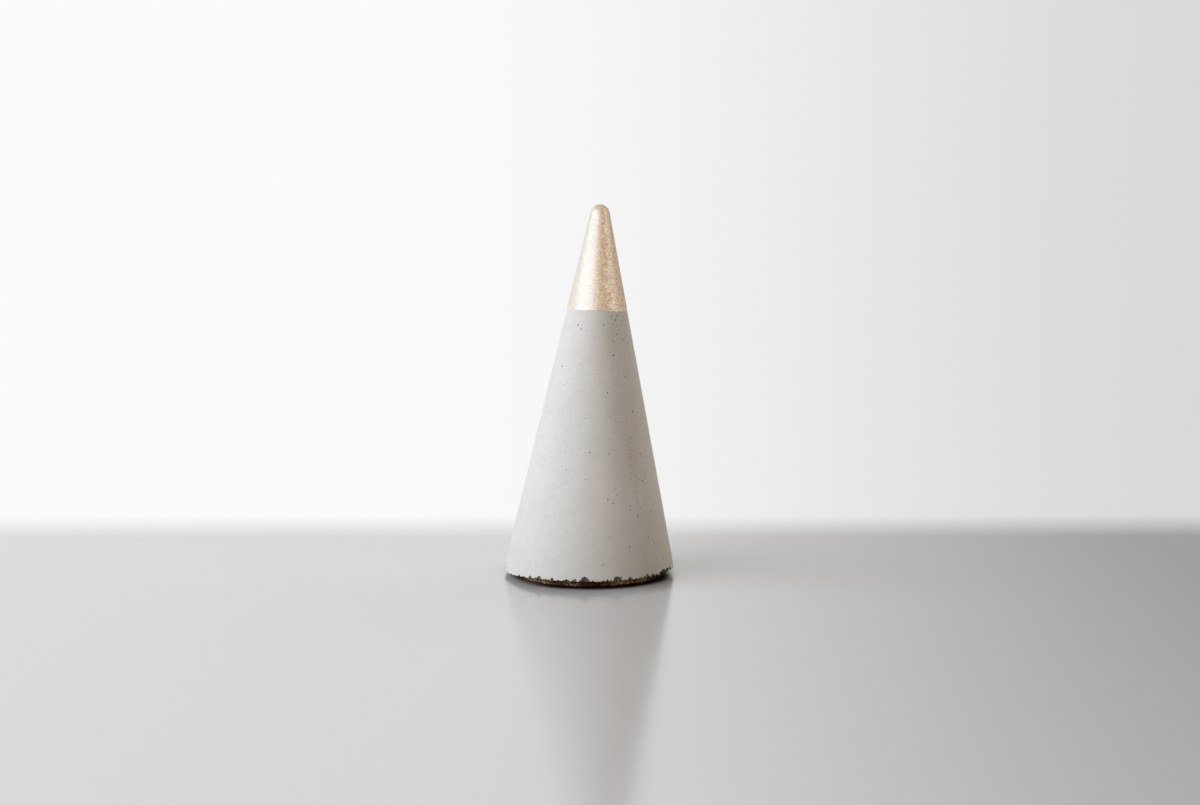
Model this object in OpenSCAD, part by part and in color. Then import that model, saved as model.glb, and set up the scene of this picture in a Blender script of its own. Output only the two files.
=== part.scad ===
// Ring display cone: a slim cone cast in concrete, its tip brushed with metallic gold paint, standing on a
// thin cork disc that is glued under it and is a little smaller than the casting.
// +Z is up and the front faces -Y. The origin is on the table, under the middle of the concrete's rim.

/* [Concrete cone] */
// Height from the table to the top of the painted nose
overall_h = 91; // [75:0.5:110]
// Diameter of the casting at its lower rim
base_d = 42; // [38:0.5:52]
// Radius of the casting's rounded nose, under the paint
nose_r = 2.3; // [1.6:0.1:4]
// Lean of the casting towards +X, left by a mould that stood askew
lean = 1.7; // [0:0.1:4]

/* [Gilded tip] */
// Length of the painted stretch, measured down the casting's axis
gilt_l = 25.6; // [14:0.2:36]
// Thickness of the paint film
gilt_t = 0.1; // [0.08:0.01:0.3]
// Tilt of the paint's lower edge, which is lowest at +X
gilt_tilt = 0.7; // [0:0.1:3]
// How far the hand-painted edge wanders up and down
gilt_wave = 0.15; // [0:0.01:0.3]
// Distance from one dip of the painted edge to the next, across the cone
gilt_wave_pitch = 8.2; // [5:0.1:12]

/* [Cork pad] */
// Diameter of the cork disc
cork_d = 37.4; // [30:0.2:37.6]
// Thickness of the cork disc
cork_t = 1.8; // [1:0.1:3]

/* [Chipped rim] */
// How far a bite reaches into the casting, as a share of the bite's width
bite_depth_share = 0.36; // [0.2:0.02:0.5]
// Number of bites round the side and back of the rim
rear_bites = 24; // [0:1:32]
// Length along the rim of the broken corner at the front right
break_l = 6.6; // [4:0.2:10]
// Height of that broken corner
break_h = 1.0; // [0.6:0.1:1.6]

/* [Hidden] */
$fn = 96;

base_r = base_d / 2;
outer_nose_r = nose_r + gilt_t;

// The casting's axis starts where it meets the rim plane. This is the height of the nose's centre along it.
nose_s = (overall_h - cork_t - outer_nose_r) / cos(lean);
// Half angle of the cone whose side touches the nose and meets the rim
taper = acos(nose_r / norm([base_r, nose_s])) - atan2(nose_s, base_r);
// Height along the axis of the sharp point that the side would run to
apex_s = base_r / tan(taper);
// Shift of the axis at the rim plane that puts the middle of the leaning cone's rim over the origin
axis_x = -apex_s * (sin(lean) + cos(lean) * (tan(taper - lean) - tan(taper + lean)) / 2);

// Overlap that lets a cutter pass cleanly through a face
through = 1;
// Stretch of the cone below the rim plane, cut away level so that the leaning casting stands square
spare_l = base_r * sin(lean) + through;

// Height along the axis of the middle of the paint's lower edge
gilt_s = nose_s + outer_nose_r - gilt_l;
// Where the painted edge dips lowest at the front, to the right of the axis
gilt_dip_x = 4.2;
gilt_steps = 40;

// Bites along the front of the rim: angle from the front towards +X, width and height
front_bites = [
    [-65, 0.6, 0.3], [-59.5, 0.5, 0.25], [-54, 0.8, 0.35], [-48.5, 0.6, 0.3], [-42.5, 0.7, 0.65],
    [-37.5, 0.6, 0.45], [-35, 0.9, 0.85], [-29.5, 0.5, 0.3], [-25, 0.7, 0.7], [-20.5, 0.6, 0.3],
    [-15, 1.25, 0.6], [-9.5, 0.9, 0.75], [-2.5, 2.0, 1.25], [2.5, 0.8, 0.4], [9.5, 0.7, 0.3],
    [14, 0.6, 0.3], [19, 2.2, 1.2], [24.5, 0.5, 0.3], [28, 0.8, 0.85], [32.5, 0.5, 0.3],
    [36.5, 0.7, 0.45], [39, 0.6, 0.4], [42, 0.8, 0.8], [47.5, 1.1, 0.65], [51.5, 0.6, 0.45]
];
// The broken corner: where its middle is, how many scoops it is made of, and how unevenly they bite
break_angle = 64;
break_scoops = 6;
break_rise = [0.75, 1, 0.7, 0.95, 0.6, 0.8];
// Stretch of the rim that rear_bites are spread over, starting past the broken corner
rear_start = 84;
rear_span = 204;
bite_seed = 12;
rear_bite_w = [0.6, 1.9];
rear_bite_h = [0.45, 0.8];

// Radius of the side, moved out by a film of thickness t, at height s along the axis
function side_r(s, t) = (apex_s - s) * tan(taper) + t / cos(taper);

// Drop of the painted edge at distance x across the cone
function edge_drop(x) = x * tan(gilt_tilt) + gilt_wave * cos(360 * (x - gilt_dip_x) / gilt_wave_pitch);

// Seeded values, one for each bite at the side and back
function scatter(range, offset) =
    rear_bites > 0 ? rands(range[0], range[1], rear_bites, bite_seed + offset) : [];

// Puts its children in the casting's own leaning frame
module leaning() {
    translate([axis_x, 0, cork_t]) rotate([0, lean, 0]) children();
}

// Half section of the round-nosed cone, with its side moved out by t, from height s0 up
module cone_section(t, s0) {
    touch_s = nose_s + (nose_r + t) * sin(taper);
    touch_r = (nose_r + t) * cos(taper);
    polygon([[0, s0], [side_r(s0, t), s0], [touch_r, touch_s], [0, touch_s]]);
    intersection() {
        translate([0, nose_s]) circle(r = nose_r + t);
        translate([0, touch_s]) square(base_r);
    }
}

// The cone as it leaves the mould, before its base is cut level
module cast_cone(t, s0) {
    rotate_extrude() cone_section(t, s0);
}

// A scoop out of the rim that shows as a notch w wide and h high on the side and goes in by depth
module bite(angle, w, h, depth) {
    notch_r = (w * w / 4 + h * h) / (2 * h);
    scoop_r = (notch_r * notch_r / depth + depth) / 2;
    rotate([0, 0, angle])
        translate([0, -(base_r + scoop_r - depth), cork_t + h - notch_r])
            sphere(r = scoop_r);
}

module small_bite(angle, w, h) {
    bite(angle, w, h, bite_depth_share * w);
}

module seen_bites() {
    for (b = front_bites) small_bite(b[0], b[1], b[2]);
}

module other_bites() {
    step = rear_span / max(rear_bites, 1);
    widths = scatter(rear_bite_w, 0);
    heights = scatter(rear_bite_h, 1);
    shifts = scatter([-0.35, 0.35], 2);
    for (i = [0:1:rear_bites - 1])
        small_bite(rear_start + step * (i + 0.5 + shifts[i]), widths[i], widths[i] * heights[i]);
}

// A row of overlapping scoops, which leaves the ragged upper edge of a break
module broken_corner() {
    step = break_l / break_scoops;
    degrees_per_mm = 180 / PI / base_r;
    for (i = [0:1:break_scoops - 1]) {
        along = (i - (break_scoops - 1) / 2) * step;
        rise = break_h * break_rise[i % len(break_rise)];
        bite(break_angle + along * degrees_per_mm, step * 1.5, rise, rise * 0.9);
    }
}

// The leaning cone with its base cut level, so that it stands square
module level_cone() {
    difference() {
        leaning() cast_cone(0, -spare_l);
        translate([-base_d, -base_d, cork_t - base_d]) cube([2 * base_d, 2 * base_d, base_d]);
    }
}

module concrete_cone() {
    color([0.76, 0.75, 0.73])
    difference() {
        level_cone();
        seen_bites();
        other_bites();
        broken_corner();
    }
}

// Everything above the wandering line where the brush stopped, as a slab across the cone
module above_paint_edge() {
    reach = side_r(gilt_s, gilt_t) + through;
    xs = [for (i = [0:gilt_steps]) -reach + 2 * reach * i / gilt_steps];
    line = [for (x = xs) [x, gilt_s - edge_drop(x)]];
    rotate([90, 0, 0])
        linear_extrude(height = 2 * reach, center = true)
            polygon(concat(line, [[reach, overall_h], [-reach, overall_h]]));
}

module gilded_tip() {
    lowest = gilt_s - edge_drop(gilt_dip_x) - 2 * through;
    color([0.80, 0.66, 0.50])
    leaning()
    intersection() {
        difference() {
            cast_cone(gilt_t, lowest);
            cast_cone(0, lowest - through);
        }
        above_paint_edge();
    }
}

module cork_pad() {
    color([0.50, 0.35, 0.21]) cylinder(d = cork_d, h = cork_t);
}

concrete_cone();
gilded_tip();
cork_pad();
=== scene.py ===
"""Dresses the ring display cone: cast concrete with air pores and a crumbled rim, a brushed film of
gold paint with metal flakes, and a disc of pressed cork. Shapes are worked out in millimetres up to
the mesh builder. The materials and the stage are in metres."""
import math
import random

import bpy
import numpy as np
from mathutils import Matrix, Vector, noise


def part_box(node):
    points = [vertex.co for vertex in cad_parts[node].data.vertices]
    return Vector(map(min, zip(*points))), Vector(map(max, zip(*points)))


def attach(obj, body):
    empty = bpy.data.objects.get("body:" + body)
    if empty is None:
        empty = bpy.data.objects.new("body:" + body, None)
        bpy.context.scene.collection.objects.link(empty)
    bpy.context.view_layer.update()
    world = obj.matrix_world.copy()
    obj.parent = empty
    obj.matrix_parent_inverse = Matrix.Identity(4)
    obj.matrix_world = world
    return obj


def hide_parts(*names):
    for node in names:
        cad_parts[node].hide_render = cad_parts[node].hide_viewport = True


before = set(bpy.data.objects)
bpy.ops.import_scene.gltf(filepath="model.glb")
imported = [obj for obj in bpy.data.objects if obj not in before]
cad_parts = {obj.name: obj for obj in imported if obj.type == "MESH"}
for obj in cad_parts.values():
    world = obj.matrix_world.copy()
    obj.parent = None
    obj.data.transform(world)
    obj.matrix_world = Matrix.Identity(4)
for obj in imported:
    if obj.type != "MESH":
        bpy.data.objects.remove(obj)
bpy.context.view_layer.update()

MM = 0.001
TAU = 2 * math.pi


def highest_corner(node):
    """Corner of a node's box where x, y and z are largest, in millimetres."""
    return [float(c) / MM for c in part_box(node)[1]]


# The heights and the cork's radius come from the frame, and the rest are the casting's own sizes
CORK_R, _, CORK_T = highest_corner("cork_pad")
OVERALL_H = highest_corner("gilded_tip")[2]
BASE_R = 21.0
NOSE_R = 2.3
LEAN = math.radians(1.7)
PAINT_T = 0.1
PAINT_L = 25.6
PAINT_TILT = math.radians(0.7)
PAINT_WAVE = 0.15
PAINT_WAVE_PITCH = 8.2
PAINT_DIP_X = 4.2

# Positions along the casting's leaning axis, from the rim's plane up
NOSE_S = (OVERALL_H - CORK_T - NOSE_R - PAINT_T) / math.cos(LEAN)
TAPER = math.acos(NOSE_R / math.hypot(BASE_R, NOSE_S)) - math.atan2(NOSE_S, BASE_R)
APEX_S = BASE_R / math.tan(TAPER)
PAINT_S = NOSE_S + NOSE_R + PAINT_T - PAINT_L
# How much further the right side spreads on its way down than the left one, for each millimetre
SPREAD_DIFFERENCE = math.tan(TAPER - LEAN) - math.tan(TAPER + LEAN)
# Where the axis meets the rim's plane, with the middle of the rim over the origin
AXIS_X = -APEX_S * (math.sin(LEAN) + math.cos(LEAN) * SPREAD_DIFFERENCE / 2)
# How far down the side the round nose reaches, from the sharp point that the side would run to
NOSE_SLANT = (APEX_S - NOSE_S - NOSE_R * math.sin(TAPER)) / math.cos(TAPER)
# Turn of a normal from the side's direction to straight along the axis
NOSE_TURN = math.pi / 2 - TAPER


# The cone as a surface
# phi is the angle from the front towards +X, and v is the distance up the side from the rim. A
# negative v runs in from the rim along the level underside.

def to_world(x, y, s):
    """A point of the casting's own leaning frame, in the row's frame."""
    world_x = AXIS_X + x * math.cos(LEAN) + s * math.sin(LEAN)
    world_z = CORK_T - x * math.sin(LEAN) + s * math.cos(LEAN)
    return np.stack([world_x, y, world_z], axis=-1)


def slant_at(s):
    """Distance down the side from its sharp point to a position along the axis."""
    return (APEX_S - s) / math.cos(TAPER)


def rim_slant(phi):
    """Distance down the side from its sharp point to the rim, which is level in spite of the lean."""
    across_lean = math.sin(TAPER) * np.sin(phi) * math.sin(LEAN)
    return APEX_S * math.cos(LEAN) / (math.cos(TAPER) * math.cos(LEAN) + across_lean)


FRONT_SLANT = float(rim_slant(np.array(0.0)))
# Height up the side of the middle of the paint's lower edge
PAINT_V = slant_at(0) - slant_at(PAINT_S)


def side_normal(phi):
    x, y = np.sin(phi) * math.cos(TAPER), -np.cos(phi) * math.cos(TAPER)
    zero = np.zeros_like(x)
    return to_world(x, y, np.full_like(x, math.sin(TAPER))) - to_world(zero, zero, zero)


def side_point(phi, v):
    slant = rim_slant(phi) - v
    radius = slant * math.sin(TAPER)
    return to_world(radius * np.sin(phi), -radius * np.cos(phi), APEX_S - slant * math.cos(TAPER))


def cone_point(phi, v):
    """A point of the side, or of the underside where v is negative."""
    point = side_point(phi, np.maximum(v, 0))
    inward = np.minimum(v, 0)
    point[..., 0] += np.sin(phi) * inward
    point[..., 1] -= np.cos(phi) * inward
    return point


def nose_point(phi, tilt, film):
    """A point of the round nose, tilt being the angle of its normal above the side's."""
    up = TAPER + tilt
    radius, rise = (NOSE_R + film) * np.cos(up), (NOSE_R + film) * np.sin(up)
    return to_world(radius * np.sin(phi), -radius * np.cos(phi), NOSE_S + rise)


def nose_tip(film):
    return nose_point(np.array([0.0]), NOSE_TURN, film)


def relief(points, scale, octaves, seed):
    """Smooth noise at each point, from about -1 to 1, with features about as wide as the scale."""
    shift = Vector((seed * 17.3, seed * 5.1, seed * 9.7))
    flat = points.reshape(-1, 3)
    values = [noise.fractal(Vector(p) / scale + shift, 1.0, 2.0, octaves) for p in flat]
    return np.array(values).reshape(points.shape[:-1])


def casting_waviness(points):
    """How far the cast side stands off a true cone, in millimetres."""
    return 0.03 * relief(points, 11, 2, 1) + 0.01 * relief(points, 2.2, 2, 2)


def even_turns(count):
    return np.arange(count) * TAU / count


# Meshes

class Surface:
    """Collects vertices, faces and named vertex values, and becomes an object."""

    def __init__(self, *layers):
        self.points = []
        self.faces = []
        self.values = {name: [] for name in layers}

    def add(self, points, **values):
        """Adds points and returns their indices, in the same arrangement."""
        points = np.asarray(points, float)
        count = points[..., 0].size
        start = sum(len(p) for p in self.points)
        self.points.append(points.reshape(-1, 3))
        for name, layer in self.values.items():
            value = np.broadcast_to(values.get(name, 0.0), points.shape[:-1])
            layer.append(np.array(value, float).reshape(-1))
        return (start + np.arange(count)).reshape(points.shape[:-1])

    def band(self, low, high, skip=None):
        """Faces between two closed rows, one of which may have several times as many columns."""
        if len(low) == len(high):
            keep = np.ones(len(low), bool) if skip is None else ~skip
            quads = np.stack([low, np.roll(low, -1), np.roll(high, -1), high], axis=1)[keep]
            self.faces += quads.tolist()
            return
        flip = len(low) < len(high)
        fine, coarse = (high, low) if flip else (low, high)
        ratio = len(fine) // len(coarse)
        half = ratio // 2
        for j, corner in enumerate(coarse):
            following = coarse[(j + 1) % len(coarse)]
            run = [fine[(j * ratio + k) % len(fine)] for k in range(ratio + 1)]
            fan = [(corner, run[k], run[k + 1]) for k in range(half)]
            fan += [(corner, run[half], following)]
            fan += [(following, run[k], run[k + 1]) for k in range(half, ratio)]
            self.faces += [f[::-1] if flip else f for f in fan]

    def bands(self, rows):
        for low, high in zip(rows, rows[1:]):
            self.band(low, high)

    def cap(self, row, points, upward, **values):
        """A fan that closes a row at one new point."""
        centre = self.add(points, **values)[0]
        for a, b in zip(row, np.roll(row, -1)):
            self.faces.append((a, b, centre) if upward else (b, a, centre))

    def build(self, name, material, sharp_angle):
        """An object of the points that the faces use, smooth but for edges past sharp_angle."""
        mesh = bpy.data.meshes.new(name)
        points = np.concatenate(self.points)
        used = sorted({int(i) for face in self.faces for i in face})
        renumber = np.full(len(points), -1)
        renumber[used] = np.arange(len(used))
        faces = [[int(renumber[i]) for i in face] for face in self.faces]
        mesh.from_pydata((points[used] * MM).tolist(), [], faces)
        for layer, values in self.values.items():
            attribute = mesh.attributes.new(layer, "FLOAT", "POINT")
            attribute.data.foreach_set("value", np.concatenate(values)[used].astype(np.float32))
        mesh.shade_smooth()
        mesh.set_sharp_from_angle(angle=math.radians(sharp_angle))
        mesh.validate()
        mesh.materials.append(material)
        obj = bpy.data.objects.new(name, mesh)
        bpy.context.scene.collection.objects.link(obj)
        return obj


# The rim

# Bites out of the rim: angle from the front towards +X, width and height
FRONT_BITES = [
    (-65, 0.6, 0.3), (-59.5, 0.5, 0.25), (-54, 0.8, 0.35), (-48.5, 0.6, 0.3), (-42.5, 0.7, 0.65),
    (-37.5, 0.6, 0.45), (-35, 0.9, 0.85), (-29.5, 0.5, 0.3), (-25, 0.7, 0.7), (-20.5, 0.6, 0.3),
    (-15, 1.25, 0.6), (-9.5, 0.9, 0.75), (-2.5, 2.0, 1.25), (2.5, 0.8, 0.4), (9.5, 0.7, 0.3),
    (14, 0.6, 0.3), (19, 2.2, 1.2), (24.5, 0.5, 0.3), (28, 0.8, 0.85), (32.5, 0.5, 0.3),
    (36.5, 0.7, 0.45), (39, 0.6, 0.4), (42, 0.8, 0.8), (47.5, 1.1, 0.65), (51.5, 0.6, 0.45),
]
BITE_DEPTH_SHARE = 0.36
# The broken corner at the front right: a row of overlapping scoops of uneven height
BREAK_ANGLE = 64
BREAK_L = 6.6
BREAK_H = 1.0
BREAK_RISE = [0.75, 1, 0.7, 0.95, 0.6, 0.8]
# Seeded bites round the sides and the back, mostly smaller than the solid's and in other places
REAR_BITES = 30
REAR_START = 84
REAR_SPAN = 204
BITE_SEED = 12
# How dark a surface is painted, as painted shade: 1 is a fresh break, and what lies deep or faces
# down is painted darker
BREAK_SHADE = 1.5
UNDERSIDE_SHADE = 1.25

# How far the low lip hangs down at most
LIP_H = 0.62
# Least and greatest height of the crumbled edge
LEAST_CRUMB = 0.04
MOST_CRUMB = 0.75


def low_lip(phi):
    """How far the rim hangs below its plane. It does so only towards -X, as in the photograph."""
    turn = np.degrees((phi + math.pi) % TAU - math.pi)
    return LIP_H * np.clip((-35 - turn) / 30, 0, 1) * np.clip((turn + 150) / 40, 0, 1)


def lip_drop(phi, v):
    """The low lip's drop at a point, which fades out within 1.2 mm of the rim."""
    return low_lip(phi) * np.clip(1.2 - np.abs(v), 0, 1)


def scoop(angle, width, height, depth, painted_shade=1.0):
    """Centre and radius of the ball that takes a notch out of the rim, and the painted shade of its
    break.
    """
    notch_r = (width * width / 4 + height * height) / (2 * height)
    ball_r = (notch_r * notch_r / depth + depth) / 2
    out = BASE_R + ball_r - depth
    turn = math.radians(angle)
    low = float(low_lip(np.array(turn)))
    centre = (math.sin(turn) * out, -math.cos(turn) * out, CORK_T - low + height - notch_r)
    return np.array(centre), ball_r, painted_shade


def all_scoops():
    rng = random.Random(BITE_SEED)
    found = [scoop(a, w, h, BITE_DEPTH_SHARE * w) for a, w, h in FRONT_BITES]
    step = BREAK_L / len(BREAK_RISE)
    for i, share in enumerate(BREAK_RISE):
        along = (i - (len(BREAK_RISE) - 1) / 2) * step
        rise = BREAK_H * share
        angle = BREAK_ANGLE + math.degrees(along / BASE_R)
        found.append(scoop(angle, step * 1.5, rise, rise * 0.9, BREAK_SHADE))
    spacing = REAR_SPAN / REAR_BITES
    for i in range(REAR_BITES):
        width = 0.5 + 1.3 * rng.random() ** 2
        angle = REAR_START + spacing * (i + 0.5 + rng.uniform(-0.35, 0.35))
        height = width * rng.uniform(0.35, 0.7)
        found.append(scoop(angle, width, height, BITE_DEPTH_SHARE * width, rng.uniform(0.5, 0.8)))
    return found


SCOOPS = all_scoops()


def bitten(points):
    """Points with the rim's bites pushed in, and for each point the painted shade of the break that
    it lies in.
    """
    broken = np.zeros(points.shape[:-1])
    rough = 1 + 0.3 * relief(points, 0.7, 4, 5)
    # The second pass moves points that one scoop has pushed into its neighbour
    for centre, ball_r, painted_shade in SCOOPS + SCOOPS:
        away = points - centre
        distance = np.linalg.norm(away, axis=-1)
        inside = distance < ball_r * rough
        if not inside.any():
            continue
        reach = (ball_r * rough / np.maximum(distance, 1e-9))[..., None]
        points = np.where(inside[..., None], centre + away * reach, points)
        broken = np.where(inside, np.maximum(broken, painted_shade), broken)
    return points, broken


def crumb_heights(phi):
    """How high the rim's edge has crumbled at each angle: in patches, and hardly towards -X."""
    found = []
    for p in phi:
        around = Vector((math.sin(p), -math.cos(p), 0.4)) * BASE_R
        chip = max(0.0, noise.fractal(around / 0.55, 1.0, 2.0, 3) - 0.08)
        patch = 0.6 + 0.5 * noise.noise(around / 4.5)
        calm = 0.5 + 0.5 * math.cos(p + math.radians(85))
        found.append(LEAST_CRUMB + 1.5 * patch * (1 - 0.8 * calm ** 3) * chip)
    return np.clip(found, LEAST_CRUMB, MOST_CRUMB)


def crumbled(points, v, phi, height):
    """Points with the rim's edge broken off along a ragged line, and how much of each is broken and
    painted dark as shade.
    """
    points[..., 2] -= lip_drop(phi, v)
    share = np.clip(np.where(v >= 0, 1 - v / height, 1 + v / (1.6 * height)), 0, 1)
    move = np.stack([-0.5 * np.sin(phi), 0.5 * np.cos(phi), np.full_like(phi, 0.7)], axis=-1)
    # Painted shade along the crumbled edge, weaker towards -X where the lip hangs low
    worn_and_shaded = np.clip(share * 2.2, 0, 1) * (1 - 1.3 * low_lip(phi))
    return points + move * (height * share)[..., None], worn_and_shaded


# Air pores

# Those that the photograph shows most clearly: angle from the front, height up the side, diameter
SEEN_PORES = [
    (-34.5, 61.7, 0.38), (-27.5, 60.8, 0.3), (28, 63.5, 0.35), (35, 62.5, 0.4), (40, 63.5, 0.45),
    (36, 61, 0.3), (12, 61.5, 0.35), (35, 59, 0.35), (26, 54, 0.45), (-52, 51.5, 0.4),
    (42, 48.5, 0.35), (15, 45, 0.35), (48, 40, 0.5), (53, 39.5, 0.35), (17, 39, 0.3),
    (38, 30, 0.35), (51, 29.5, 0.35), (62, 30, 0.35), (50, 25.5, 0.35), (49, 23, 0.45),
    (20, 22, 0.35), (13, 19.5, 0.45), (17, 18.5, 0.35), (32, 17.5, 0.35), (39, 15, 0.45),
    (54, 15.5, 0.4), (47, 9.5, 0.45), (83, 9, 0.35), (53, 7.5, 0.35), (63, 3.5, 0.35),
]
# Groups of small pores: angle and height of the middle, spread of both, and how many
PORE_GROUPS = [
    (38, 19, 4, 3, 16), (48, 27, 6, 6, 34), (51, 13, 5, 5, 22), (36, 61, 6, 2.5, 12),
    (44, 44, 6, 6, 14),
]
SEEDED_PORES = 460
PORE_SEED = 41
# A pore's rings, as shares of its radius outwards and inwards
PORE_RINGS = [(1.0, 0.0), (0.93, 0.45), (0.72, 0.95), (0.38, 1.2)]
PORE_BOTTOM = 1.25


def all_pores(side_top):
    """Angle, height and radius of the seen pores, then of seeded fine ones on every side, which are
    denser towards +X, low down and under the paint."""
    rng = random.Random(PORE_SEED)
    pores = [(math.radians(a), v, d / 2) for a, v, d in SEEN_PORES]
    for angle, height, turn, rise, count in PORE_GROUPS:
        for _ in range(count):
            phi = math.radians(rng.gauss(angle, turn))
            pores.append((phi, rng.gauss(height, rise), rng.uniform(0.09, 0.15)))
    known = len(pores)
    while len(pores) < known + SEEDED_PORES:
        phi = rng.uniform(-math.pi, math.pi)
        v = side_top * rng.random()
        width_share = 1 - v * math.sin(TAPER) / BASE_R
        right = 0.5 + 0.5 * math.cos(phi - math.radians(55))
        under_paint = math.exp((v - side_top) / 4)
        if rng.random() > width_share * (0.15 + 0.85 * right ** 2) + 0.5 * right * under_paint:
            continue
        radius = 0.06 + (0.05 + 0.08 * right) * rng.random() ** 3
        pores.append((phi, v, radius))
    return pores


SIDE_COLUMNS = 220
RIM_COLUMNS = 880
RIM_STEP = 0.15
RIM_ROWS = 10


def side_heights(start, top):
    """Heights up the side at which square cells of the coarse grid begin and end."""
    heights = [start]
    while heights[-1] < top:
        ring_r = (FRONT_SLANT - heights[-1]) * math.sin(TAPER)
        heights.append(heights[-1] + ring_r * TAU / SIDE_COLUMNS)
    return heights


def stamp_pore(surface, rows, heights, taken, phi, v, radius):
    """Replaces a block of the side's grid by a ringed pit, unless another pit is too near."""
    columns = SIDE_COLUMNS
    row = int(np.argmin(np.abs(np.array(heights) - v)))
    column = round(phi / TAU * columns) % columns
    ring_r = float(rim_slant(np.array(phi)) - v) * math.sin(TAPER)
    cell = ring_r * TAU / columns
    half = max(1, math.ceil(radius * 1.35 / cell + 0.35))
    if row - half < 1 or row + half >= len(rows) - 1:
        return
    cells = [(r, c % columns) for r in range(row - half, row + half)
             for c in range(column - half, column + half)]
    if any(taken[r, c] for r, c in cells):
        return
    for r, c in cells:
        taken[r, c] = True
    # The block's outline, from its lower left corner round by the right
    edge = [(row - half, column + k) for k in range(-half, half)]
    edge += [(row + k, column + half) for k in range(-half, half)]
    edge += [(row + half, column - k) for k in range(-half, half)]
    edge += [(row - k, column - half) for k in range(-half, half)]
    outer = [rows[r][c % columns] for r, c in edge]
    turns = np.array([
        math.atan2(heights[r] - v, ((c * TAU / columns - phi + math.pi) % TAU - math.pi) * ring_r)
        for r, c in edge])
    oval = 1 + 0.16 * np.cos(2 * turns + phi * 40) + 0.08 * np.cos(3 * turns + v * 7)
    for share, depth in PORE_RINGS:
        reach = radius * share * oval
        at_phi = phi + reach * np.cos(turns) / ring_r
        points = side_point(at_phi, v + reach * np.sin(turns))
        inset = depth * radius - casting_waviness(points)
        points -= side_normal(at_phi) * inset[..., None]
        ring = surface.add(points, pit=min(depth, 1.0))
        surface.faces += [list(f) for f in zip(outer, np.roll(outer, -1), np.roll(ring, -1), ring)]
        outer = ring
    middle = np.array([phi])
    bottom = side_point(middle, np.array([v])) - side_normal(middle) * radius * PORE_BOTTOM
    surface.cap(outer, bottom, True, pit=1.0)


# The three pieces

def make_concrete(material):
    surface = Surface("pit", "broken")
    coarse, fine = even_turns(SIDE_COLUMNS), even_turns(RIM_COLUMNS)
    crumbs = {len(phi): crumb_heights(phi) for phi in (coarse, fine)}

    def row(phi, v):
        points = cone_point(phi, np.full_like(phi, v))
        if v >= 0:
            points += side_normal(phi) * casting_waviness(points)[..., None]
        else:
            points[..., 2] += 0.04 * relief(points, 1.5, 3, 3)
        points, worn_and_shaded = crumbled(points, v, phi, crumbs[len(phi)])
        points, broken = bitten(points)
        points[..., 2] = np.maximum(points[..., 2], CORK_T - lip_drop(phi, v))
        # Painted shade: the underside is painted nearly black, as it lies in shade
        under = UNDERSIDE_SHADE if v < -0.3 else 0.0
        return surface.add(points, broken=np.maximum(np.maximum(broken, worn_and_shaded), under))

    underside = [row(coarse, v) for v in (-4.6, -3.6, -2.6, -1.9)]
    rim = [row(fine, k * RIM_STEP) for k in range(-RIM_ROWS, RIM_ROWS + 1)]
    heights = side_heights(RIM_ROWS * RIM_STEP + 0.4, PAINT_V + 1.2)
    side = [row(coarse, v) for v in heights]
    surface.bands(underside + rim + side[:1])

    taken = np.zeros((len(side) - 1, SIDE_COLUMNS), bool)
    for phi, v, radius in all_pores(PAINT_V - 0.6):
        stamp_pore(surface, side, heights, taken, phi, v, radius)
    for k, (low, high) in enumerate(zip(side, side[1:])):
        surface.band(low, high, skip=taken[k])

    # Under the paint the casting runs on plainly to its round nose
    top = [side[-1]]
    for share in np.linspace(0, 1, 14)[1:]:
        slant = (1 - share) * (rim_slant(coarse) - heights[-1]) + share * NOSE_SLANT
        top.append(surface.add(side_point(coarse, rim_slant(coarse) - slant)))
    for tilt in np.linspace(0, NOSE_TURN, 9)[1:-1]:
        top.append(surface.add(nose_point(coarse, tilt, 0.0)))
    surface.bands(top)
    surface.cap(top[-1], nose_tip(0.0), True)
    surface.cap(underside[0], np.array([[0.0, 0.0, CORK_T]]), False, broken=UNDERSIDE_SHADE)
    return surface.build("concrete_casting", material, sharp_angle=38)


PAINT_COLUMNS = 300
# The film's hidden face lies this far inside the concrete
PAINT_SINK = 0.06
# The film's rounded lower edge: height above its line, and how far out it stands there
PAINT_LIP = [
    (0.0, -PAINT_SINK), (0.0, 0.0), (0.12, 0.018), (0.3, 0.04), (0.6, 0.065), (1.0, PAINT_T - 0.01),
]


def paint_edge(phi):
    """Height up the side at which the paint ends: a tilted line that wanders."""
    across = (APEX_S - PAINT_S) * math.tan(TAPER) * np.sin(phi)
    wave = PAINT_WAVE * np.cos(TAU * (across - PAINT_DIP_X) / PAINT_WAVE_PITCH)
    ragged = [noise.noise(Vector((math.sin(p) * 9, math.cos(p) * 9, 3.3))) for p in phi]
    drop = across * math.tan(PAINT_TILT) + wave + 0.05 * np.array(ragged)
    return rim_slant(phi) - slant_at(PAINT_S - drop)


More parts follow.
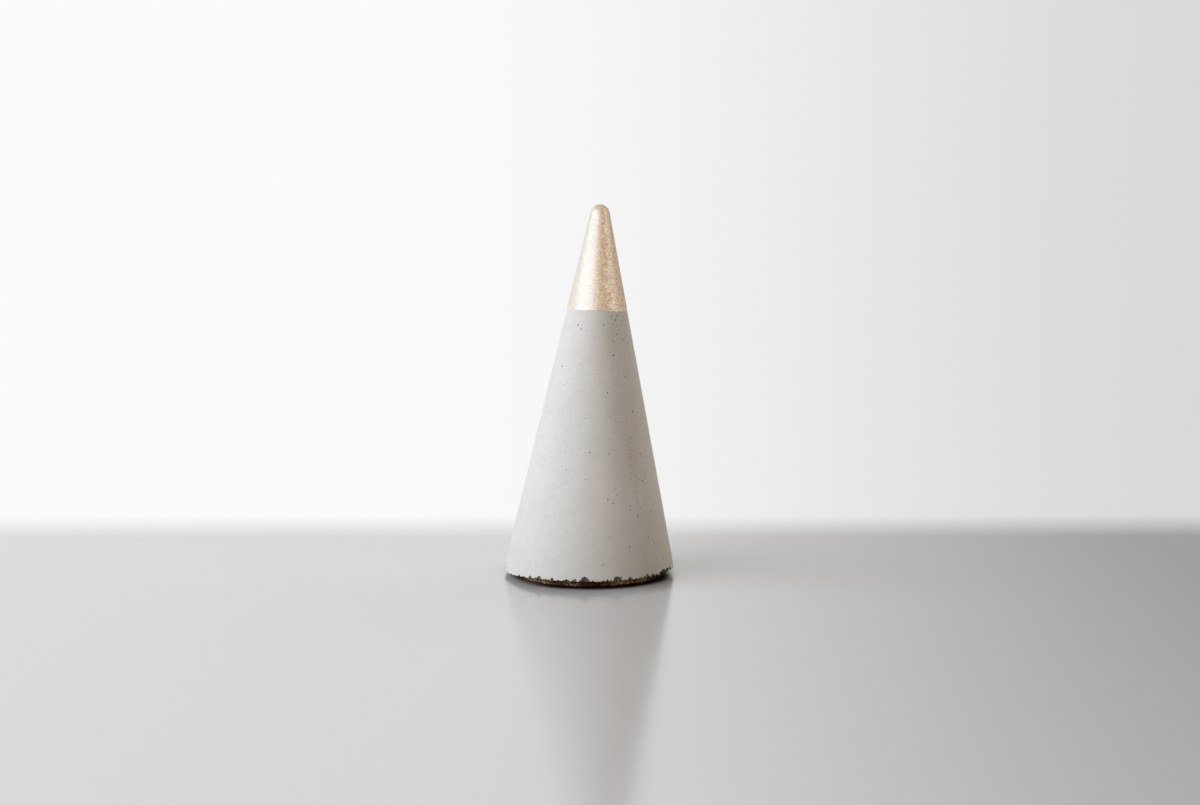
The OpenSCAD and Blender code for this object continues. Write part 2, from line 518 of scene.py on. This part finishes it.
def make_paint(material):
    """The film: an outer face that follows the casting, and an inner one inside the concrete."""
    surface = Surface("edge")
    phi = even_turns(PAINT_COLUMNS)
    edge_v = paint_edge(phi)
    top_v = rim_slant(phi) - NOSE_SLANT

    def film_row(v, film, edge):
        points = side_point(phi, v)
        stroke = 0.012 * relief(points * np.array([1, 1, 0.35]), 0.9, 2, 9)
        lift = film + casting_waviness(points) + (stroke if film > 0 else 0)
        return surface.add(points + side_normal(phi) * lift[..., None], edge=edge)

    # Up the side the film thins a little, so that its strokes stay within the solid's box
    outer = [film_row(edge_v + up, film, 1.0 - up) for up, film in PAINT_LIP]
    for share in np.linspace(0, 1, 110)[1:]:
        v = (edge_v + PAINT_LIP[-1][0]) * (1 - share) + top_v * share
        outer.append(film_row(v, PAINT_T - 0.01 - 0.02 * share, 0.0))
    for tilt in np.linspace(0, NOSE_TURN, 16)[1:-1]:
        points = nose_point(phi, tilt, PAINT_T - 0.03)
        lift = casting_waviness(points) * (1 - tilt / NOSE_TURN)
        away = points - to_world(0.0, 0.0, NOSE_S)
        outward = away / np.linalg.norm(away, axis=-1)[..., None]
        outer.append(surface.add(points + outward * lift[..., None]))

    inner = [outer[0]]
    for share in np.linspace(0, 1, 8)[1:]:
        v = edge_v * (1 - share) + top_v * share
        inner.append(surface.add(side_point(phi, v) - side_normal(phi) * PAINT_SINK))
    for tilt in np.linspace(0, NOSE_TURN, 7)[1:-1]:
        inner.append(surface.add(nose_point(phi, tilt, -PAINT_SINK)))

    surface.bands(outer)
    surface.cap(outer[-1], nose_tip(PAINT_T - 0.005), True)
    for low, high in zip(inner, inner[1:]):
        surface.band(high, low)
    surface.cap(inner[-1], nose_tip(-PAINT_SINK), False)
    return surface.build("gold_paint_film", material, sharp_angle=60)


CORK_COLUMNS = 900
CORK_ROWS = 17
GRANULE = 1.05
# Flat faces of the disc are plain within this radius
CORK_PLAIN_R = 17.2
# Most that the cut edge lies in, and the height over which its foot, painted dark as shade, fades
GAP_DEPTH = 0.45
DARK_FOOT_H = 0.35
# Stretches of the cut edge painted with light flecks, as painted light: angle from the front and half
# width, in degrees
PAINTED_LIGHT_CORK = [
    (-52, 9), (-46, 10), (-34, 7), (-13, 5), (26, 9), (44, 5), (130, 16), (195, 10), (-120, 12),
]


def cork_edge(points):
    """How far the cut edge lies in at each point, and how near it is to a gap between granules."""
    inset, gap = [], []
    for p in points.reshape(-1, 3):
        near, _ = noise.voronoi(Vector(p) / GRANULE)
        step = near[1] - near[0]
        gap.append(math.exp(-step * 9))
        tone = noise.cell(Vector(p) / GRANULE * 0.9)
        inset.append(0.16 * math.exp(-step * 6) + 0.05 * near[0] + 0.05 * tone)
    rough = 0.05 * relief(points, 0.35, 3, 13)
    return np.reshape(inset, points.shape[:-1]) + rough, np.reshape(gap, points.shape[:-1])


def painted_light_on_cork(phi):
    """How much painted light the granules take at each angle."""
    total = np.zeros_like(phi)
    for angle, half_width in PAINTED_LIGHT_CORK:
        turn = (phi - math.radians(angle) + math.pi) % TAU - math.pi
        total += np.exp(-(turn / math.radians(half_width)) ** 2)
    return total


def make_cork(material):
    surface = Surface("gap", "light")
    phi = even_turns(CORK_COLUMNS)
    light = painted_light_on_cork(phi)
    around = np.stack([np.sin(phi), -np.cos(phi), np.zeros_like(phi)], axis=-1)

    def plain_ring(radius, z):
        return surface.add(around * radius + (0, 0, z))

    def cut_ring(radius, z):
        points = around * radius + (0, 0, z)
        inset, gap = cork_edge(points)
        points -= around * np.clip(inset, 0, GAP_DEPTH)[..., None]
        # Painted shade: the foot of the cut edge is painted dark, where shade falls at the table
        painted_foot_shade = min(1.0, 1.6 - z / DARK_FOOT_H)
        return surface.add(points, gap=np.maximum(gap, painted_foot_shade), light=light)

    rows = [plain_ring(radius, 0.0) for radius in (6.0, 12.0, CORK_PLAIN_R)]
    # The corner at the table is worn away
    rows += [cut_ring(CORK_R - inset, z) for inset, z in ((0.9, 0.0), (0.7, 0.14), (0.05, 0.2))]
    rows += [cut_ring(CORK_R, CORK_T * k / CORK_ROWS) for k in range(3, CORK_ROWS)]
    rows += [cut_ring(CORK_R - 0.12, CORK_T), plain_ring(CORK_PLAIN_R, CORK_T)]
    surface.bands(rows)
    surface.cap(rows[0], np.zeros((1, 3)), False)
    surface.cap(rows[-1], np.array([[0.0, 0.0, CORK_T]]), True)
    return surface.build("cork_disc", material, sharp_angle=70)


# Materials
# Positions in ramps are in metres in the row's frame, and sizes of patterns are in millimetres.

# Where the Mix node keeps its colour sockets
MIX_A, MIX_B, MIX_RESULT = 6, 7, 2


class Nodes:
    """A node tree with short calls for what the finishes and the world need."""

    def __init__(self, tree, place="Object"):
        self.tree = tree
        self.place = self.add("ShaderNodeTexCoord").outputs[place]

    def add(self, kind, inputs=None, **settings):
        node = self.tree.nodes.new(kind)
        for key, value in settings.items():
            setattr(node, key, value)
        self.feed(node, inputs or {})
        return node

    def feed(self, node, inputs):
        """Links or sets a node's inputs."""
        for key, value in inputs.items():
            if isinstance(value, bpy.types.NodeSocket):
                self.tree.links.new(value, node.inputs[key])
            else:
                node.inputs[key].default_value = value

    def noise(self, size_mm, detail=3.0, roughness=0.5, stretch=None):
        place = self.place
        if stretch:
            place = self.add("ShaderNodeMapping", {"Vector": place, "Scale": stretch}).outputs[0]
        scale = 1 / (size_mm * MM)
        inputs = {"Vector": place, "Scale": scale, "Detail": detail, "Roughness": roughness}
        return self.add("ShaderNodeTexNoise", inputs).outputs["Fac"]

    def cells(self, size_mm):
        """A random colour for each cell of a pattern of close grains."""
        inputs = {"Vector": self.place, "Scale": 1 / (size_mm * MM)}
        return self.add("ShaderNodeTexVoronoi", inputs).outputs["Color"]

    def channel(self, colour, index):
        return self.add("ShaderNodeSeparateColor", {0: colour}).outputs[index]

    def axes(self):
        return self.add("ShaderNodeSeparateXYZ", {0: self.place}).outputs

    def value(self, name):
        return self.add("ShaderNodeAttribute", attribute_name=name).outputs["Fac"]

    def ramp(self, fac, low, high, start=0.0, end=1.0, **settings):
        """Maps fac from low..high to start..end, clamped."""
        inputs = {"Value": fac, "From Min": low, "From Max": high, "To Min": start, "To Max": end}
        return self.add("ShaderNodeMapRange", inputs, **settings).outputs[0]

    def math(self, operation, a, b=0.0):
        return self.add("ShaderNodeMath", {0: a, 1: b}, operation=operation).outputs[0]

    def times(self, a, b):
        return self.math("MULTIPLY", a, b)

    def vector(self, operation, inputs):
        return self.add("ShaderNodeVectorMath", inputs, operation=operation).outputs[0]

    def mix(self, fac, a, b):
        inputs = {"Factor": fac, MIX_A: a, MIX_B: b}
        return self.add("ShaderNodeMix", inputs, data_type="RGBA").outputs[MIX_RESULT]

    def blend(self, fac, a, b):
        """A blend of two shaders."""
        return self.add("ShaderNodeMixShader", {0: fac, 1: a, 2: b}).outputs[0]

    def bump(self, height, distance_mm, **inputs):
        inputs.update(Height=height, Distance=distance_mm * MM)
        return self.add("ShaderNodeBump", inputs).outputs[0]


class Finish(Nodes):
    """A material's node tree."""

    def __init__(self, name):
        self.material = bpy.data.materials.new(name)
        self.material.use_nodes = True
        super().__init__(self.material.node_tree)
        self.shader = self.tree.nodes["Principled BSDF"]

    def result(self, inputs):
        """Fills in the shader and returns the material."""
        self.feed(self.shader, inputs)
        return self.material


def srgb(red, green, blue):
    """A linear colour from display values of 0 to 255."""
    def linear(value):
        value /= 255
        return value / 12.92 if value <= 0.04045 else ((value + 0.055) / 1.055) ** 2.4
    return (linear(red), linear(green), linear(blue), 1.0)


# The cone's outline from the front: its half width at the table, and the height of its sharp point
OUTLINE_R = 0.0213
OUTLINE_H = 0.0997


def concrete_material():
    """Pale grey, with streaks, blotches and grit at the right, a foot painted darker as shade, and
    breaks, pores and underside painted dark as shade.
    """
    n = Finish("cast_concrete")
    across, _, up = n.axes()
    # Runs from -1 at the left outline to 1 at the right one
    sideways = n.math("DIVIDE", across, n.ramp(up, 0.0, OUTLINE_H, OUTLINE_R, 0.0))

    clouds = n.ramp(n.noise(9, 3, 0.55), 0.35, 0.65)
    warmth = n.ramp(n.noise(16, 2, 0.5, (1, 1, 0.6)), 0.4, 0.62)
    mottle = n.ramp(n.noise(2.2, 4, 0.6), 0.36, 0.64)
    fine = n.ramp(n.noise(0.45, 4, 0.7), 0.32, 0.68)
    colour = n.mix(clouds, srgb(186, 183, 178), srgb(196, 194, 190))
    colour = n.mix(n.times(warmth, 0.5), colour, srgb(191, 186, 180))
    colour = n.mix(0.35, colour, n.mix(mottle, srgb(182, 179, 174), srgb(199, 197, 193)))
    colour = n.mix(0.42, colour, n.mix(fine, srgb(178, 174, 169), srgb(206, 204, 200)))

    pink = n.times(n.ramp(sideways, 0.2, 0.4, -0.02, 0.12), n.ramp(sideways, 1.0, 0.7))
    streaks = n.ramp(n.math("ADD", n.noise(4.5, 3, 0.6, (1, 1, 0.14)), pink), 0.4, 0.6)
    tint = n.mix(streaks, srgb(188, 189, 181), srgb(196, 184, 180))
    colour = n.mix(n.ramp(sideways, -0.5, 0.1, 0.1, 0.4), colour, tint)

    stained = n.times(n.ramp(sideways, 0.2, 0.5), n.ramp(sideways, 0.95, 0.7))
    blotch = n.ramp(n.noise(6, 4, 0.65, (1, 1, 0.4)), 0.3, 0.68)
    brown = n.times(stained, n.times(blotch, n.ramp(up, 0.065, 0.04, 0.4, 1.0)))
    colour = n.mix(n.times(brown, 0.5), colour, srgb(171, 162, 143))
    grit = n.times(n.ramp(n.noise(0.28, 2, 0.5), 0.64, 0.7), n.ramp(brown, 0.0, 1.0, 0.3, 0.8))
    colour = n.mix(grit, colour, srgb(112, 106, 98))
    # Painted shade: the foot is painted darker, more towards +X, where the floor's bounce light is
    # weak
    painted_foot_shade = n.times(n.ramp(up, 0.024, 0.004), n.ramp(across, -0.008, 0.018, 0.16, 0.42))
    colour = n.mix(painted_foot_shade, colour, srgb(150, 144, 137))

    # Painted shade: breaks, the crumbled edge and the underside are painted dark, nearly black where
    # they lie deepest
    broken = n.value("broken")
    shaded_break_colour = n.mix(n.ramp(n.noise(0.3, 3, 0.6), 0.38, 0.66), srgb(38, 31, 25), srgb(104, 95, 84))
    shaded_break_colour = n.mix(n.ramp(broken, 1.0, BREAK_SHADE, 0.0, 0.75), shaded_break_colour, srgb(26, 22, 19))
    colour = n.mix(n.times(broken, 0.9), colour, shaded_break_colour)
    # Painted shade: pores are painted darker inside
    colour = n.mix(n.times(n.value("pit"), 0.8), colour, srgb(64, 59, 54))

    skin = n.bump(n.noise(0.3, 4, 0.65), 0.02)
    rough_breaks = n.bump(n.times(n.noise(0.25, 3, 0.6), broken), 0.25, Normal=skin)
    return n.result({
        "Base Color": colour,
        "Roughness": n.ramp(n.noise(2.5, 3, 0.6), 0.3, 0.7, 0.72, 0.86),
        "Specular IOR Level": 0.35,
        "Normal": rough_breaks,
    })


def paint_material():
    """Gold flakes of two sizes under a satin coat, calmer left of the leaning axis and painted paler
    there, as a painted highlight.
    """
    n = Finish("gold_paint")
    flakes, grains = n.cells(0.28), n.cells(0.15)
    x, _, up = n.axes()
    across = n.math("SUBTRACT", x, n.times(up, math.tan(LEAN)))

    def tilted(normal, colour, amount):
        """The normal, tilted at random on each flake."""
        centred = n.vector("SUBTRACT", {0: colour, 1: (0.5, 0.5, 0.5)})
        scaled = n.vector("SCALE", {0: centred, "Scale": amount})
        return n.vector("NORMALIZE", {0: n.vector("ADD", {0: normal, 1: scaled})})

    normal = n.add("ShaderNodeNewGeometry").outputs["Normal"]
    normal = tilted(normal, flakes, n.ramp(across, -0.005, 0.0, 0.08, 0.42))
    normal = tilted(normal, grains, n.ramp(across, -0.005, 0.0, 0.12, 0.34))

    # Painted highlight: left of the axis the flakes' colour gives way to a pale plain gold, with
    # fewer dark grains
    share_outside_painted_highlight = n.ramp(across, -0.0026, 0.0004, 0.22, 1.0)
    flaked = n.mix(n.ramp(n.channel(flakes, 0), 0.2, 0.9), srgb(190, 139, 82), srgb(252, 223, 176))
    colour = n.mix(share_outside_painted_highlight, srgb(204, 176, 141), flaked)
    dark_grains = n.times(n.ramp(n.channel(grains, 1), 0.6, 0.9), 0.55)
    colour = n.mix(n.times(dark_grains, share_outside_painted_highlight), colour, srgb(146, 109, 74))
    patches = n.ramp(n.noise(3.5, 3, 0.6), 0.35, 0.7)
    colour = n.mix(n.times(patches, 0.4), colour, srgb(208, 181, 150))
    # The concrete shows through where the film runs thin at its lower edge
    thin = n.times(n.value("edge"), n.ramp(n.noise(0.5, 3, 0.6), 0.35, 0.65))
    colour = n.mix(n.times(thin, 0.6), colour, srgb(226, 214, 198))

    cloud = n.ramp(n.noise(1.2, 3, 0.6), 0.3, 0.7, -0.04, 0.04)
    return n.result({
        "Base Color": colour,
        "Metallic": 0.9,
        "Roughness": n.math("ADD", n.ramp(across, -0.006, 0.0, 0.48, 0.34), cloud),
        "Normal": normal,
        "Specular Tint": (0.52, 0.5, 0.46, 1.0),
        "Coat Weight": 1.0,
        "Coat Roughness": 0.34,
        "Coat IOR": 2.4,
    })


def cork_material():
    """Brown granules, some stretches with painted light flecks, dark gaps between them, and a foot
    painted dark as shade.
    """
    n = Finish("pressed_cork")
    tone = n.channel(n.cells(GRANULE), 0)
    colour = n.mix(n.ramp(tone, 0.15, 0.9), srgb(38, 21, 12), srgb(118, 68, 35))
    fine = n.ramp(n.noise(0.3, 4, 0.65), 0.35, 0.65)
    colour = n.mix(0.45, colour, n.mix(fine, srgb(28, 15, 9), srgb(152, 96, 53)))
    painted_light_fleck = n.ramp(n.noise(0.5, 3, 0.6), 0.4, 0.56)
    # Painted light: bright flecks on the stretches of the cut edge that the light reaches
    colour = n.mix(n.times(n.value("light"), painted_light_fleck), colour, srgb(232, 190, 142))
    # Dark gaps between granules, and the foot painted dark as shade
    colour = n.mix(n.value("gap"), colour, srgb(20, 12, 8))
    return n.result({
        "Base Color": colour,
        "Roughness": 0.9,
        "Specular IOR Level": 0.25,
        "Normal": n.bump(n.noise(0.22, 3, 0.6), 0.06),
    })


CONTACT_REACH = 12 * MM


def floor_material():
    """A pale lacquered table, painted lighter towards -X as painted light from the key. It fades out
    behind, as in the photograph.
    """
    n = Finish("pale_table")
    across, away, _ = n.axes()
    # Painted light: the table is painted lighter towards -X and darker towards +X
    colour = n.mix(n.ramp(across, 0.01, 0.155), srgb(173, 173, 173), srgb(89, 89, 89))
    # Painted shade in the contact line, brown as a painted reflection of the cork: a dark core and a
    # wider edge, each weaker at the left end
    occlusion = n.add("ShaderNodeAmbientOcclusion", {"Distance": CONTACT_REACH}, samples=16)
    open_sky = occlusion.outputs["AO"]
    core = n.times(n.ramp(open_sky, 0.3, 0.7, 0.6, 0.0), n.ramp(across, -0.018, -0.009))
    wide = n.times(n.ramp(open_sky, 0.6, 0.92, 0.36, 0.0), n.ramp(across, -0.0215, -0.015))
    under = n.times(n.math("ADD", core, wide), n.ramp(across, 0.0216, 0.0184))
    shade = n.add("ShaderNodeBsdfDiffuse", {"Color": srgb(36, 20, 11)}).outputs[0]
    shaded = n.blend(under, n.shader.outputs[0], shade)

    reach = n.add("ShaderNodeVectorMath", {0: n.place}, operation="LENGTH").outputs["Value"]
    fade = n.math("MAXIMUM", n.ramp(away, 0.049, 0.083), n.ramp(reach, 0.2, 0.34))
    faded = n.blend(fade, shaded, n.add("ShaderNodeBsdfTransparent").outputs[0])
    n.feed(n.tree.nodes["Material Output"], {"Surface": faded})
    return n.result({"Base Color": colour, "Roughness": 0.17, "IOR": 3.8})


# The object

def dress(piece, node):
    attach(piece, "root")
    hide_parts(node)


dress(make_concrete(concrete_material()), "concrete_cone")
paint = make_paint(paint_material())
dress(paint, "gilded_tip")
dress(make_cork(cork_material()), "cork_pad")


# The stage

FLOOR_HALF = 1.6
LAMP_AIM = Vector((0, 0, 0.045))
# The photograph's view, fitted to the cone's outline, the rim and the paint's edge. It looks down
# and to the right by these angles in degrees.
LENS_MM = 50
SENSOR_MM = 36
CAMERA_PLACE = (0, -0.4091, 0.08325)
CAMERA_DOWN = 5.70
CAMERA_RIGHT = 0.38


def make_floor():
    h = FLOOR_HALF
    mesh = bpy.data.meshes.new("floor")
    mesh.from_pydata([(-h, -h, 0), (h, -h, 0), (h, h, 0), (-h, h, 0)], [], [(0, 1, 2, 3)])
    mesh.materials.append(floor_material())
    floor = bpy.data.objects.new("floor", mesh)
    bpy.context.scene.collection.objects.link(floor)


def soft_light(name, azimuth, elevation, distance, width, height, watts, colour, mirrored_by=None):
    """An area light that faces the object, with its azimuth measured from the front towards +X. It
    lights matt surfaces and shows in none, or it only shows in the shine of one piece."""
    turn, lift = math.radians(azimuth), math.radians(elevation)
    level = math.cos(lift)
    place = Vector((math.sin(turn) * level, -math.cos(turn) * level, math.sin(lift))) * distance
    light = bpy.data.lights.new(name, "AREA")
    light.shape = "RECTANGLE"
    light.size = width
    light.size_y = height
    light.energy = watts
    light.color = colour
    obj = bpy.data.objects.new(name, light)
    obj.visible_diffuse = mirrored_by is None
    obj.visible_glossy = mirrored_by is not None
    if mirrored_by:
        receivers = bpy.data.collections.new(name + "_receivers")
        receivers.objects.link(mirrored_by)
        obj.light_linking.receiver_collection = receivers
    obj.location = place + LAMP_AIM
    obj.rotation_euler = (-place).to_track_quat("-Z", "Y").to_euler()
    bpy.context.scene.collection.objects.link(obj)


def make_world():
    """Dim light for surfaces. The camera and reflections see plain white, darker towards +X."""
    world = bpy.data.worlds.new("studio")
    bpy.context.scene.world = world
    world.use_nodes = True
    world.node_tree.nodes.clear()
    n = Nodes(world.node_tree, "Generated")
    path = n.add("ShaderNodeLightPath").outputs
    mirrored = n.math("MAXIMUM", path["Is Glossy Ray"], path["Is Transmission Ray"])
    seen = n.math("MAXIMUM", path["Is Camera Ray"], mirrored)
    shade = n.ramp(n.axes()[0], -0.12, 0.38, 0.956, 0.686, interpolation_type="SMOOTHSTEP")
    dim = n.add("ShaderNodeBackground", {"Color": (1.0, 0.88, 0.72, 1.0), "Strength": 0.43})
    white = n.add("ShaderNodeBackground", {"Color": (1, 1, 1, 1), "Strength": shade})
    sky = n.blend(seen, dim.outputs[0], white.outputs[0])
    n.add("ShaderNodeOutputWorld", {"Surface": sky})


def make_camera():
    camera = bpy.data.cameras.new("camera")
    camera.lens = LENS_MM
    camera.sensor_width = SENSOR_MM
    camera.clip_start = 0.01
    obj = bpy.data.objects.new("camera", camera)
    obj.location = CAMERA_PLACE
    obj.rotation_euler = (math.radians(90 - CAMERA_DOWN), 0, math.radians(-CAMERA_RIGHT))
    bpy.context.scene.collection.objects.link(obj)
    bpy.context.scene.camera = obj


make_floor()
make_world()
make_camera()
# Azimuth, elevation, distance, width, height, watts and colour. The last three light only the
# paint's shine.
soft_light("key", -69, 32, 0.9, 1.1, 0.7, 12.7, (0.92, 0.985, 1.10))
soft_light("fill", 62, 20, 1.0, 0.4, 0.6, 0.6, (1.0, 0.95, 0.88))
soft_light("rim", 128, 25, 1.0, 0.8, 0.8, 3.6, (1.0, 0.97, 0.93))
soft_light("window", -54.5, 21, 0.9, 1.5, 0.75, 3.75, (0.65, 1.06, 1.68), mirrored_by=paint)
soft_light("side_window", -127, 22, 0.9, 1.12, 0.9, 1.42, (0.64, 1.16, 1.9), mirrored_by=paint)
soft_light("glint", 70, 24, 1.0, 0.45, 0.6, 0.64, (0.95, 1.0, 1.15), mirrored_by=paint)
bpy.context.scene.view_settings.view_transform = "Standard"
